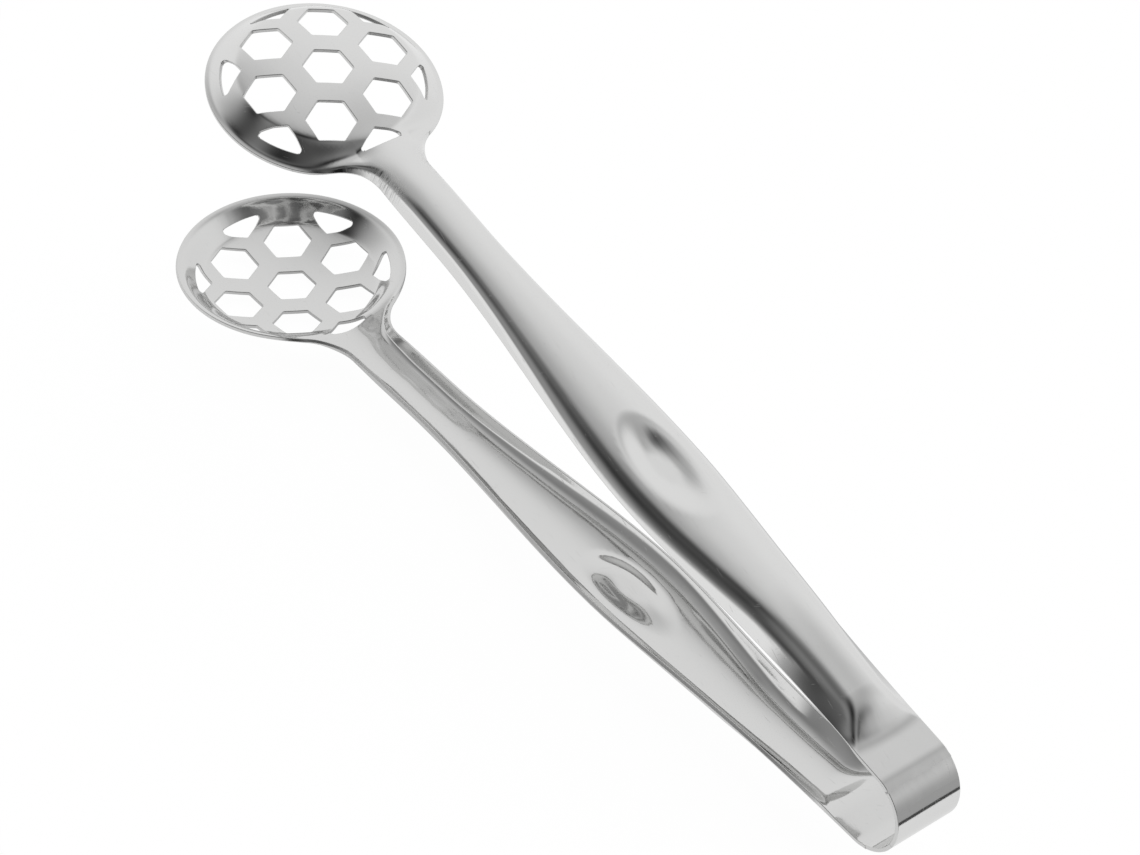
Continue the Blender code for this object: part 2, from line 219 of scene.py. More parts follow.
def dimple_drop(at, across, height):
    """How deep the thumb dimple is pressed into the crown, deeper towards the head."""
    ahead = (at - DIMPLE_AT) / (DIMPLE_LENGTH / 2.0)
    reach = np.hypot(ahead, across / (DIMPLE_WIDTH / 2.0))
    middle = np.array(DIMPLE_AT)
    crown = channel_height(middle, np.array(0.0), strip_half_width(middle))
    floor = crown - DIMPLE_DEPTH * (1.0 + DIMPLE_DEEPEN * ahead)
    drop = np.maximum(height - floor, 0.0) * (1.0 - ramp(reach, DIMPLE_FLOOR, 1.0))
    return np.where(reach < 1.0, drop, 0.0)


def dish_height(at, across):
    """Height of the head above the arm's edges: the dome, then the wall, then the brim."""
    radius = np.minimum(np.hypot((at - HEAD_AT) / HEAD_ALONG, across), DOME_RADIUS)
    dome = DOME_HEIGHT - DOME_RADIUS + np.sqrt(DOME_RADIUS ** 2 - radius ** 2)
    brim = (HEAD_RADIUS - radius) * math.tan(BRIM_ANGLE) - BRIM_DROP
    foot = BRIM_WIDTH * math.tan(BRIM_ANGLE) - BRIM_DROP
    wall = foot + (HEAD_RADIUS - BRIM_WIDTH - radius) * math.tan(WALL_ANGLE)
    under = 0.5 * (wall + brim + np.sqrt((wall - brim) ** 2 + BRIM_SOFTNESS ** 2))
    return 0.5 * (dome + under - np.sqrt((dome - under) ** 2 + WALL_SOFTNESS ** 2))


def fillet_centre():
    """The centre of the fillet between neck and head, ahead of the head's centre and across."""
    across = NECK_WIDTH / 2.0 + NECK_FILLET
    return -math.sqrt((HEAD_RADIUS + NECK_FILLET) ** 2 - across ** 2), across


def side_outline(count):
    """The +Y outline from the start of the fillet to the front corner: share, at, across."""
    centre_ahead, centre_across = fillet_centre()
    meet = math.atan2(centre_across, -centre_ahead)
    fillet_length = NECK_FILLET * (math.pi / 2.0 - meet)
    whole = fillet_length + HEAD_RADIUS * (math.pi - meet - TIP_ARC_ANGLE)
    run = np.linspace(0.0, whole, count)
    turn = np.minimum(run, fillet_length) / NECK_FILLET
    on_head = math.pi - meet - (run - fillet_length) / HEAD_RADIUS
    fillet = run < fillet_length
    ahead = np.where(fillet, centre_ahead + NECK_FILLET * np.sin(turn), HEAD_RADIUS * np.cos(on_head))
    across = np.where(fillet, centre_across - NECK_FILLET * np.cos(turn), HEAD_RADIUS * np.sin(on_head))
    return run / whole, HEAD_AT + HEAD_ALONG * ahead, across


OUTLINE = side_outline(FINE_SIDE_POINTS)
NECK_END = OUTLINE[1][0]


def head_offset(at):
    """How far each head is pressed off the line of its arm, +Y above and -Y below."""
    return HEAD_OFFSET * ramp(at, NECK_END, HEAD_AT - HEAD_RADIUS / 2.0)


def half_width_at(at, across):
    """The half width that shapes the channel at a point, over the arm and its head."""
    share, side_at, side_across = OUTLINE
    row_at = np.array(at, float)
    for _ in range(ROW_PASSES):
        row = np.interp(row_at, side_at, share)
        column = np.clip(np.abs(across) / np.interp(row_at, side_at, side_across), 0.0, 1.0)
        bulge = np.cos(TIP_ARC_ANGLE * column) - math.cos(TIP_ARC_ANGLE)
        target = at - HEAD_ALONG * HEAD_RADIUS * row * bulge
        row_at = 0.5 * (row_at + np.maximum(target, NECK_END))
    on_head = np.maximum(np.interp(row_at, side_at, side_across), NECK_WIDTH / 2.0)
    return np.where(at <= NECK_END, strip_half_width(at), on_head)


def pressed_height(at, across):
    """Height of the outer face above the arm's straight line: channel, dimple and head."""
    half = half_width_at(at, across)
    height = channel_height(at, across, half)
    height = height - dimple_drop(at, across, height)
    blend_start = HEAD_AT - HEAD_BLEND_LENGTH
    rim_start = HEAD_AT - HEAD_RADIUS
    softness = HEAD_BLEND_SOFTNESS * ramp(at, blend_start, rim_start)
    channel = height * (1.0 - ramp(at, blend_start, HEAD_AT))
    onto_head = ramp(at, rim_start, HEAD_AT)
    side_share = np.minimum(np.abs(across) / (NECK_WIDTH / 2.0), 1.0) ** 2
    channel = channel - HEAD_BLEND_SINK * onto_head * (side_share + (1.0 - side_share) * onto_head)
    dish = dish_height(at, across)
    merged = 0.5 * (channel + dish + np.sqrt((channel - dish) ** 2 + softness ** 2))
    return np.where(at > blend_start, merged, height) + kick(at)


def spine_table():
    """The outer face's centre line from the nose to the upper arm: run, along, height, pitch."""
    nose_run = BOW_RADIUS * (math.pi / 2.0 - CREASE_ANGLE)
    run = np.linspace(SPINE_END, -nose_run, SPINE_POINTS)
    on_bow = CREASE_ANGLE + np.maximum(-run, 0.0) / BOW_RADIUS
    pitch = on_bow + (ARM_SPLAY - on_bow) * ramp(run, -CREASE_HALF, CREASE_HALF)
    step = np.diff(run)
    middle = (pitch[1:] + pitch[:-1]) / 2.0
    along = -run[0] * math.cos(ARM_SPLAY) + np.r_[0.0, np.cumsum(-step * np.cos(middle))]
    height = BOW_RADIUS * math.cos(CREASE_ANGLE) + run[0] * math.sin(ARM_SPLAY)
    height = height + np.r_[0.0, np.cumsum(step * np.sin(middle))]
    height = height - height[-1] * ramp(run, 0.0, run[-1])
    return run[::-1], along[::-1], height[::-1], pitch[::-1]


SPINE = spine_table()
NOSE_RUN = -SPINE[0][0]


def to_world(points):
    """Points from the bow's own frame to where the solids lie."""
    return points @ TURN.T + FRAME_AT


def arm_point(at, across, side):
    """A point on the outer face of an arm, side 1 above and -1 below."""
    run, along, height, pitch = SPINE
    within = np.minimum(at, run[-1])
    angle = np.interp(within, run, pitch)
    beyond = np.maximum(at - run[-1], 0.0)
    rise = pressed_height(np.maximum(at, 0.0), across - side * head_offset(at))
    rise = np.where(at > 0.0, rise, 0.0)
    x = np.interp(within, run, along) - beyond * np.cos(angle) + rise * np.sin(angle)
    z = np.interp(within, run, height) + beyond * np.sin(angle) + rise * np.cos(angle)
    return to_world(np.stack([x, across, side * z], -1))


def bow_point(at, across, side):
    """A point on the outer face of the bow, at its run from the nose, above where it is positive."""
    run, along, height, _ = SPINE
    within = np.abs(at) - NOSE_RUN
    x = np.interp(within, run, along)
    z = np.interp(within, run, height) * np.sign(at)
    return to_world(np.stack([x, across, z], -1))


def surface(point, at, across, side):
    """Points, normals and the two tangents of a face."""
    step = TANGENT_STEP
    here = point(at, across, side)
    along = (point(at + step, across, side) - point(at - step, across, side)) / (2.0 * step)
    over = (point(at, across + step, side) - point(at, across - step, side)) / (2.0 * step)
    normal = np.cross(along, over)
    normal /= np.linalg.norm(normal, axis=-1, keepdims=True)
    return here, normal, along, over


def rounded_outline(corners, radii):
    """A closed outline with rounded corners and points along its straight sides."""
    points = []
    count = len(corners)
    for index, (corner, radius) in enumerate(zip(corners, radii)):
        corner = np.array(corner)
        before, after = np.array(corners[index - 1]), np.array(corners[(index + 1) % count])
        if radius == 0.0:
            points.append(corner)
            continue
        to_before = math.atan2(*(before - corner)[::-1])
        to_after = math.atan2(*(after - corner)[::-1])
        opening = (to_before - to_after) % (2.0 * math.pi)
        middle = to_after + opening / 2.0
        to_centre = np.array([math.cos(middle), math.sin(middle)])
        centre = corner + radius / math.sin(opening / 2.0) * to_centre
        turn = math.pi - opening
        for step in range(CORNER_STEPS + 1):
            angle = middle + math.pi + turn * (step / CORNER_STEPS - 0.5)
            points.append(centre + radius * np.array([math.cos(angle), math.sin(angle)]))
    return subdivide(np.array(points))


def subdivide(loop):
    """A closed outline with points added along its longer sides."""
    out = []
    for here, after in zip(loop, np.roll(loop, -1, axis=0)):
        count = max(1, int(np.linalg.norm(after - here) / HOLE_STEP))
        out.extend(here + (after - here) * step / count for step in range(count))
    return np.array(out)


def rim_hole():
    """The part hexagon towards the tip, cut off by the edge of the field."""
    side = (math.sqrt(4.0 * FIELD_RADIUS ** 2 - 3.0 * RIM_HOLE_AT ** 2) - RIM_HOLE_AT) / 2.0
    half_angle = math.asin(side * math.sin(math.pi / 3.0) / FIELD_RADIUS)
    corners = [(RIM_HOLE_AT, 0.0)]
    radii = [RIM_HOLE_CORNER]
    for step in range(FIELD_ARC_STEPS + 1):
        angle = half_angle * (2.0 * step / FIELD_ARC_STEPS - 1.0)
        corners.append((FIELD_RADIUS * math.cos(angle), FIELD_RADIUS * math.sin(angle)))
        radii.append(RIM_HOLE_CORNER if step in (0, FIELD_ARC_STEPS) else 0.0)
    return rounded_outline(corners, radii)


def whole_hole(x, y):
    """A whole hexagon, two of its corners on the line along the arm."""
    size = HOLE_FLATS / math.sqrt(3.0)
    corners = []
    for index in range(6):
        angle = math.pi / 3.0 * index
        corners.append((x + size * math.cos(angle), y + size * math.sin(angle)))
    return rounded_outline(corners, [HOLE_CORNER] * 6)


def honeycomb():
    """The holes of a head in the plane of the arm."""
    rim = rim_hole()
    centres = [(0.0, 0.0)]
    loops = []
    for index in range(6):
        angle = math.pi / 3.0 * index
        turn = np.array([[math.cos(angle), math.sin(angle)], [-math.sin(angle), math.cos(angle)]])
        loops.append(rim @ turn)
        ring = angle + math.pi / 6.0
        centres.append((HOLE_PITCH * math.cos(ring), HOLE_PITCH * math.sin(ring)))
    loops += [whole_hole(x, y) for x, y in centres]
    return [loop * [HEAD_ALONG, 1.0] + [HEAD_AT, 0.0] for loop in loops]


def arm_outline():
    """The outline of an arm from its seam on the bow, counter-clockwise, and its edge radii."""
    strip = np.linspace(-SEAM_AT, NECK_END, STRIP_POINTS)[:-1]
    _, side_at, side_across = side_outline(SIDE_POINTS)
    tip = np.linspace(TIP_ARC_ANGLE, 0.0, TIP_POINTS)[1:]
    at = np.r_[strip, side_at, HEAD_AT + HEAD_ALONG * HEAD_RADIUS * np.cos(tip)]
    across = np.r_[strip_half_width(strip), side_across, HEAD_RADIUS * np.sin(tip)]
    near = np.stack([at, -across], -1)
    far = np.stack([at, across], -1)[::-1][1:]
    seam_across = np.linspace(BOW_WIDTH / 2.0, -BOW_WIDTH / 2.0, SEAM_POINTS)[1:-1]
    seam = np.stack([np.full(SEAM_POINTS - 2, -SEAM_AT), seam_across], -1)
    loop = np.concatenate([near, far, seam])
    return loop, np.where(loop[:, 0] > -SEAM_AT + TOLERANCE, EDGE_RADIUS, SEAM_RADIUS)


def crowded(count, crowding):
    """Places from -1 to 1 that lie closer together towards both ends."""
    turn = np.linspace(-1.0, 1.0, count) * math.pi / 2.0 * crowding
    return np.sin(turn) / math.sin(math.pi / 2.0 * crowding)


def strip_points():
    """Points over the strip, closest together at the crease, in the run-out and in the dimple."""
    channel_start = FLAT_LENGTH + RUN_OUT_LENGTH
    dimple_start = DIMPLE_AT - DIMPLE_LENGTH / 2.0
    dimple_end = DIMPLE_AT + DIMPLE_LENGTH / 2.0
    rows = np.concatenate([
        np.arange(-SEAM_AT, CREASE_ZONE, CREASE_STEP),
        np.arange(CREASE_ZONE, channel_start, RUN_OUT_STEP),
        np.arange(channel_start, dimple_start, STRIP_STEP),
        np.arange(dimple_start, dimple_end, DIMPLE_STEP),
        np.arange(dimple_end, NECK_END, STRIP_STEP),
    ])
    across = strip_half_width(rows)[:, None] * crowded(STRIP_COLUMNS, STRIP_CROWDING)
    return np.stack(np.broadcast_arrays(rows[:, None], across), -1).reshape(-1, 2)


def head_points():
    """Points over the head, in rows that bulge from the straight neck to the round tip."""
    share, side_at, side_across = side_outline(SIDE_ROWS)
    share = share[:, None]
    columns = crowded(HEAD_COLUMNS, HEAD_CROWDING)
    neck_half = NECK_WIDTH / 2.0
    tip_half = HEAD_RADIUS * math.sin(TIP_ARC_ANGLE)
    bulge = np.cos(TIP_ARC_ANGLE * columns) - math.cos(TIP_ARC_ANGLE)
    at = side_at[:, None] + HEAD_ALONG * HEAD_RADIUS * share * bulge
    across = neck_half * columns * (1.0 - share)
    across = across + HEAD_RADIUS * np.sin(TIP_ARC_ANGLE * columns) * share
    across = across + columns * (side_across[:, None] - neck_half - (tip_half - neck_half) * share)
    return np.stack([at, across], -1).reshape(-1, 2)


def bend_points():
    """Rings of points where the dome turns into the wall and the wall into the brim."""
    radii = np.concatenate([middle + BEND_ROWS for middle in (WALL_TOP, HEAD_RADIUS - BRIM_WIDTH)])
    turn = np.linspace(-math.pi, math.pi, RING_POINTS, endpoint=False)
    at = HEAD_AT + HEAD_ALONG * radii[:, None] * np.cos(turn)
    rings = np.stack([at, radii[:, None] * np.sin(turn)], -1).reshape(-1, 2)
    return rings[rings[:, 0] > NECK_END]


def off_line(points, side):
    """Points of an arm, with those on its head moved over as the head is."""
    return points + np.stack([np.zeros(len(points)), side * head_offset(points[:, 0])], -1)


def inside(points, loop):
    """Which points a closed outline goes round."""
    x, y = points[:, :1], points[:, 1:]
    x0, y0 = loop[:, 0], loop[:, 1]
    x1, y1 = np.roll(x0, -1), np.roll(y0, -1)
    crossing = (y0 > y) != (y1 > y)
    with np.errstate(divide="ignore", invalid="ignore"):
        at = x0 + (y - y0) * (x1 - x0) / (y1 - y0)
    return (np.count_nonzero(crossing & (x < at), axis=1) % 2).astype(bool)


def in_region(points, loops):
    """Which points lie within the first outline and in none of the holes after it."""
    keep = inside(points, loops[0])
    for hole in loops[1:]:
        keep &= ~inside(points, hole)
    return keep


def outward(loop, hole):
    """Unit directions out of the material, for a counter-clockwise outline or a hole."""
    run = np.roll(loop, -1, axis=0) - np.roll(loop, 1, axis=0)
    run /= np.linalg.norm(run, axis=1, keepdims=True)
    out = np.stack([run[:, 1], -run[:, 0]], -1)
    return -out if hole else out


def counter_clockwise(loop):
    """The outline in counter-clockwise order."""
    x, y = loop[:, 0], loop[:, 1]
    area = np.sum(x * np.roll(y, -1) - np.roll(x, -1) * y)
    return loop if area > 0.0 else loop[::-1]


def facing(polygons, co, no):
    """The polygons turned so that they face as their normals do."""
    a, b, c = (co[polygons[:, index]] for index in (0, 1, 2))
    want = no[polygons].mean(axis=1)
    if polygons.shape[1] == 4:
        d = co[polygons[:, 3]]
        face = np.cross(c - a, d - b)
    else:
        face = np.cross(b - a, c - a)
    turned = np.sum(face * want, axis=1) < 0.0
    out = polygons.copy()
    out[turned] = polygons[turned][:, ::-1]
    return out


def filled(loops, points):
    """The points and triangles of a plane region, from its outline, its holes and points within."""
    bounds = np.concatenate(loops)
    points = points[in_region(points, loops)]
    clear = np.ones(len(points), bool)
    for start in range(0, len(points), RIM_BATCH):
        batch = points[start:start + RIM_BATCH]
        gap = np.linalg.norm(batch[:, None] - bounds[None], axis=2).min(axis=1)
        clear[start:start + RIM_BATCH] = gap > RIM_GAP
    flat = np.concatenate([bounds, points[clear]])
    edges = []
    for loop in loops:
        first = len(edges)
        edges += [(first + index, first + (index + 1) % len(loop)) for index in range(len(loop))]
    _, _, faces, source, _, _ = delaunay_2d_cdt(
        [Vector(co) for co in flat / MM], edges, [], 0, TOLERANCE, True
    )
    order = np.array([ids[0] if ids else -1 for ids in source])
    tris = order[np.array([list(face) for face in faces])]
    tris = tris[(tris >= 0).all(axis=1)]
    return flat, tris[in_region(flat[tris].mean(axis=1), loops)]


def rolled_edge(here, normal, push, radius):
    """Rows of points round a cut edge from the outer face to the inner one, with their normals."""
    radius = radius[:, None]
    for face, shares in ((1.0, EDGE_SHARES), (-1.0, EDGE_SHARES[::-1])):
        for share in shares:
            turn = share * math.pi / 2.0
            drop = radius * (1.0 - math.cos(turn))
            if face < 0.0:
                drop = SHEET - drop
            row = here + push * radius * math.sin(turn) - normal * drop
            yield row, push * math.sin(turn) + face * normal * math.cos(turn)


def sheet_object(name, point, side, outer, radii, holes, inner_points):
    """A closed sheet with rounded cut edges over a plane region, with exact normals."""
    rims = [(outer, outward(outer, False), radii)]
    for hole in holes:
        hole = counter_clockwise(hole)
        rims.append((hole, outward(hole, True), np.full(len(hole), EDGE_RADIUS)))
    plane = []
    for loop, out, radius in rims:
        _, _, along, over = surface(point, loop[:, 0], loop[:, 1], side)
        reach = np.linalg.norm(along * out[:, :1] + over * out[:, 1:], axis=1)
        plane.append(loop - out * (radius / reach)[:, None])
    flat, tris = filled(plane, inner_points)
    here, normal, along, over = surface(point, flat[:, 0], flat[:, 1], side)
    bow_middle = to_world(np.array([-BOW_RADIUS * math.sin(CREASE_ANGLE), 0.0, 0.0]))
    normal = normal * np.sign(np.sum(normal[0] * (here[0] - bow_middle)))
    total = len(flat)
    co = [here, here - normal * SHEET]
    no = [normal, -normal]
    place = [flat, flat]
    quads = []
    first = 0
    count_all = 2 * total
    for loop, out, radius in rims:
        count = len(loop)
        ids = np.arange(first, first + count)
        push = along[ids] * out[:, :1] + over[ids] * out[:, 1:]
        push -= normal[ids] * np.sum(push * normal[ids], axis=1, keepdims=True)
        push /= np.linalg.norm(push, axis=1, keepdims=True)
        rows = [ids]
        for edge_points, edge_normals in rolled_edge(here[ids], normal[ids], push, radius):
            co.append(edge_points)
            no.append(edge_normals)
            place.append(flat[ids])
            rows.append(np.arange(count_all, count_all + count))
            count_all += count
        rows.append(ids + total)
        for upper, lower in zip(rows, rows[1:]):
            quads.append(np.stack([upper, np.roll(upper, -1), np.roll(lower, -1), lower], -1))
        first += count
    co, no, place = np.concatenate(co), np.concatenate(no), np.concatenate(place)
    polygons = [facing(group, co, no).tolist() for group in (tris, tris + total, np.concatenate(quads))]
    mesh = bpy.data.meshes.new(name)
    mesh.from_pydata(co.tolist(), [], sum(polygons, []))
    mesh.shade_smooth()
    no /= np.linalg.norm(no, axis=1, keepdims=True)
    mesh.normals_split_custom_set_from_vertices(no.tolist())
    index = np.arange(len(co))
    strip_place = np.column_stack([place / MM, (index >= total) & (index < 2 * total)])
    strip = mesh.attributes.new("strip", "FLOAT_VECTOR", "POINT")
    strip.data.foreach_set("vector", strip_place.ravel())
    cut_edge = mesh.attributes.new("cut_edge", "FLOAT", "POINT")
    cut_edge.data.foreach_set("value", (index >= 2 * total).astype(float))
    thing = bpy.data.objects.new(name, mesh)
    bpy.context.scene.collection.objects.link(thing)
    return thing


def arm_strip(name, side):
    """The visible strip of one arm, with its head and holes."""
    outline, radii = arm_outline()
    points = np.concatenate([strip_points(), head_points(), bend_points()])
    return sheet_object(
        name + "_strip", arm_point, side,
        off_line(outline, side), radii, honeycomb(), off_line(points, side),
    )


def bow_strip(name):
    """The visible strip of the bow, from seam to seam."""
    end = NOSE_RUN - SEAM_AT
    at = np.linspace(-end, end, BOW_POINTS)
    across = np.linspace(-BOW_WIDTH / 2.0, BOW_WIDTH / 2.0, BOW_COLUMNS)
    near = np.stack([at, np.full(BOW_POINTS, -BOW_WIDTH / 2.0)], -1)
    seam = np.stack([np.full(BOW_COLUMNS - 2, end), across[1:-1]], -1)
    loop = np.concatenate([near, seam, -near, -seam])
    radii = np.where(np.abs(loop[:, 0]) < end - TOLERANCE, EDGE_RADIUS, SEAM_RADIUS)
    points = np.stack(np.meshgrid(at, across, indexing="ij"), -1).reshape(-1, 2)
    return sheet_object(name + "_strip", bow_point, 1.0, loop, radii, [], points)


strips = {name: arm_strip(name, side) for name, side in SIDES.items()}
strips["spring_bow"] = bow_strip("spring_bow")

SLOTS = {"upper_arm": "upper_arm_steel", "lower_arm": "lower_arm_steel", "spring_bow": "bow_steel"}

# Marks on the steel: the length and width of each kind in millimetres, and its turn off the
# line of the strip in radians. The gaps keep the noise of kinds and pieces apart.
ROLL = (14.0, 7.0, 0.0)
BRUSHING = (16.0, 0.35, 0.0)
HAZE = (22.0, 5.0, 0.3)
LONG_MARKS = (7.0, 0.13, 0.12)
CROSS_MARKS = (3.5, 0.12, -0.75)
WHEEL_MARKS = (2.2, 0.35, 1.1)
LAYER_GAP = 3.0
PIECE_GAP = 20.0
NOISE_DETAIL = 2.0

# Between which levels of its noise each kind of mark rises from nothing to full
LONG_RISE = (0.70, 0.76)
CROSS_RISE = (0.72, 0.78)
WHEEL_RISE = (0.25, 0.75)

# Pits, and the streaks at the fillets, in millimetres on the strip
SPECK_SPACING = 2.4
SPECK_SIZE = 0.11
SPECK_RARITY = 0.80
STREAK_AT = 171.0
STREAK_SIDE = 6.0
STREAK_LENGTH = 5.0
STREAK_WIDTH = 2.0

# What the marks do to the steel, and how much painted shade darkens its inner faces
CLEAN_ROUGHNESS = 0.05
BRUSHING_ROUGHNESS = 0.04
HAZE_ROUGHNESS = 0.03
WEAR_ROUGHNESS = 0.12
WHEEL_ROUGHNESS = 0.65
EDGE_ROUGHNESS = 0.22
WEAR_DULLING = 0.5
EDGE_DULLING = 0.35
# Painted shade: how much darker the inner faces are, where the arms face each other
INNER_PAINTED_SHADE = 0.30
BRIGHT_STEEL = (0.72, 0.72, 0.715, 1.0)
# The darker steel of wear and cut edges, also the colour of the painted shade on the inner faces
DULL_AND_SHADED_STEEL = (0.56, 0.56, 0.555, 1.0)
ROLL_HEIGHT = 0.05 * MM
BRUSHING_HEIGHT = 0.0001 * MM
WEAR_DEPTH = 0.006 * MM


def maths(tree, operation, *values):
    """The result of an operation on sockets and numbers."""
    node = tree.nodes.new("ShaderNodeMath")
    node.operation = operation
    for socket, value in zip(node.inputs, values):
        if isinstance(value, bpy.types.NodeSocket):
            tree.links.new(value, socket)
        else:
            socket.default_value = value
    return node.outputs[0]


def blended(tree, share, low, high):
    """low where share is 0, high where it is 1."""
    return maths(tree, "MULTIPLY_ADD", maths(tree, "SUBTRACT", high, low), share, low)


def summed(tree, base, marks):
    """base, and each mark times its amount."""
    for mark, amount in marks:
        base = maths(tree, "MULTIPLY_ADD", mark, amount, base)
    return base


def dotted(tree, direction, axis):
    """How far a direction or a place goes along an axis."""
    node = tree.nodes.new("ShaderNodeVectorMath")
    node.operation = "DOT_PRODUCT"
    tree.links.new(direction, node.inputs[0])
    node.inputs[1].default_value = axis
    return node.outputs["Value"]


def spread(tree, value, start, end):
    """0 up to start, 1 from end, smooth between."""
    node = tree.nodes.new("ShaderNodeMapRange")
    node.interpolation_type = "SMOOTHSTEP"
    tree.links.new(value, node.inputs["Value"])
    node.inputs["From Min"].default_value = start
    node.inputs["From Max"].default_value = end
    return node.outputs["Result"]


def scaled(tree, value, centre, size):
    """How far a value is from a centre, as a multiple of a size."""
    return maths(tree, "MULTIPLY_ADD", value, 1.0 / size, -centre / size)


def fading(tree, value):
    """1 where the value is 0, and less and less above it."""
    return maths(tree, "EXPONENT", maths(tree, "MULTIPLY", value, -1.0))


def streaks(tree, place, kind, layer):
    """Noise in the long cells of one kind of mark."""
    length, width, turn = kind
    cell = tree.nodes.new("ShaderNodeCombineXYZ")
    lengthwise = (math.cos(turn) / length, math.sin(turn) / length, 0.0)
    crosswise = (-math.sin(turn) / width, math.cos(turn) / width, 0.0)
    tree.links.new(dotted(tree, place, lengthwise), cell.inputs["X"])
    tree.links.new(dotted(tree, place, crosswise), cell.inputs["Y"])
    cell.inputs["Z"].default_value = layer
    node = tree.nodes.new("ShaderNodeTexNoise")
    node.inputs["Scale"].default_value = 1.0
    node.inputs["Detail"].default_value = NOISE_DETAIL
    tree.links.new(cell.outputs[0], node.inputs["Vector"])
    return node.outputs["Fac"]


def specks(tree, place):
    """Small pits, one in some of the cells that the strip is divided into."""
    node = tree.nodes.new("ShaderNodeTexVoronoi")
    node.inputs["Scale"].default_value = 1.0 / SPECK_SPACING
    tree.links.new(place, node.inputs["Vector"])
    chance = dotted(tree, node.outputs["Color"], (1.0, 0.0, 0.0))
    chosen = maths(tree, "GREATER_THAN", chance, SPECK_RARITY)
    size = SPECK_SIZE / SPECK_SPACING
    clear = spread(tree, node.outputs["Distance"], size / 2.0, size)
    return maths(tree, "MULTIPLY", maths(tree, "SUBTRACT", 1.0, clear), chosen)


def near_fillets(tree, place):
    """1 at the two fillets between neck and head, where the wheel has left its streaks."""
    ahead = scaled(tree, dotted(tree, place, (1.0, 0.0, 0.0)), STREAK_AT, STREAK_LENGTH)
    side = maths(tree, "ABSOLUTE", dotted(tree, place, (0.0, 1.0, 0.0)))
    side = scaled(tree, side, STREAK_SIDE, STREAK_WIDTH)
    return fading(tree, maths(tree, "MULTIPLY_ADD", ahead, ahead, maths(tree, "MULTIPLY", side, side)))


def bump(tree, height, distance, normal=None):
    """The normal of a surface that is raised by a distance where the height is 1."""
    node = tree.nodes.new("ShaderNodeBump")
    node.inputs["Distance"].default_value = distance
    tree.links.new(height, node.inputs["Height"])
    if normal is not None:
        tree.links.new(normal, node.inputs["Normal"])
    return node.outputs["Normal"]


def attribute(tree, name):
    """A value that the surface carries at its points."""
    node = tree.nodes.new("ShaderNodeAttribute")
    node.attribute_name = name
    return node


def steel(name, layer):
    """Polished stainless: fine lengthwise brushing, faint scratches and a slight roll in the sheet,
    with painted shade darkening its inner faces.
    """
    material = bpy.data.materials.new(name)
    material.use_nodes = True
    tree = material.node_tree
    shader = tree.nodes["Principled BSDF"]
    shader.inputs["Metallic"].default_value = 1.0
    place = attribute(tree, "strip").outputs["Vector"]
    edge = attribute(tree, "cut_edge").outputs["Fac"]
    kinds = (ROLL, BRUSHING, HAZE, LONG_MARKS, CROSS_MARKS, WHEEL_MARKS)
    roll, brushing, haze, long_marks, cross_marks, wheel = (
        streaks(tree, place, kind, layer + LAYER_GAP * index) for index, kind in enumerate(kinds)
    )
    long_marks = spread(tree, long_marks, *LONG_RISE)
    cross_marks = spread(tree, cross_marks, *CROSS_RISE)
    scratches = maths(tree, "MAXIMUM", long_marks, cross_marks)
    wear = maths(tree, "MAXIMUM", scratches, specks(tree, place))
    inside_face = dotted(tree, place, (0.0, 0.0, 1.0))
    wheel = maths(tree, "MULTIPLY", spread(tree, wheel, *WHEEL_RISE), near_fillets(tree, place))
    wheel = maths(tree, "MULTIPLY", wheel, maths(tree, "SUBTRACT", 1.0, inside_face))
    roughness = summed(tree, CLEAN_ROUGHNESS, (
        (brushing, BRUSHING_ROUGHNESS),
        (haze, HAZE_ROUGHNESS),
        (wear, WEAR_ROUGHNESS),
        (wheel, WHEEL_ROUGHNESS),
        (edge, EDGE_ROUGHNESS),
    ))
    tree.links.new(roughness, shader.inputs["Roughness"])
    # Darker steel where worn and at the cut edges, and painted shade on the inner faces
    dulling_and_shade = summed(tree, 0.0, (
        (wear, WEAR_DULLING),
        (edge, EDGE_DULLING),
        (inside_face, INNER_PAINTED_SHADE),
    ))
    tint = tree.nodes.new("ShaderNodeMix")
    tint.data_type = "RGBA"
    tint.inputs["A"].default_value = BRIGHT_STEEL
    tint.inputs["B"].default_value = DULL_AND_SHADED_STEEL
    tree.links.new(dulling_and_shade, tint.inputs["Factor"])
    tree.links.new(tint.outputs["Result"], shader.inputs["Base Color"])
    normal = bump(tree, roll, ROLL_HEIGHT)
    normal = bump(tree, brushing, BRUSHING_HEIGHT, normal)
    normal = bump(tree, maths(tree, "MULTIPLY", wear, -1.0), WEAR_DEPTH, normal)
    tree.links.new(normal, shader.inputs["Normal"])
    return material


for index, (name, slot) in enumerate(SLOTS.items()):
    strips[name].data.materials.append(steel(name + "_polished", PIECE_GAP * index))
    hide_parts(name)

for name, side in SIDES.items():
    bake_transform(strips[name])
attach(strips["spring_bow"], "spring_bow")

# A white table under the tongs, plain as the camera sees it. As the steel mirrors it, it ends past
# the bow in a painted dark band on its far side, with painted grey beyond, and has a painted shadow of
# the tongs.
TABLE_HALF = 6.0
TABLE_DROP = 0.3 * MM
TABLE_WHITE = (0.85, 0.85, 0.85, 1.0)
TABLE_GLOW_SHARE = 0.9
TABLE_SEEN = 1.065
TABLE_END = 0.150
# Painted dark band past the table's end on its far side, and painted grey beyond it, seen only in the
# steel
PAINTED_BAND_WIDTH = 0.016
PAINTED_BAND_START = 0.005
PAINTED_BAND_LEVEL = 0.03
BEYOND_LEVEL = 0.42
# Painted shadow of the tongs on the table, seen only in the steel
SHADE_X = -0.020
SHADE_Y = 0.030
SHADE_LENGTH = 0.120
SHADE_WIDTH = 0.050
SHADE_POWER = 4.0
SHADE_DEPTH = 0.60

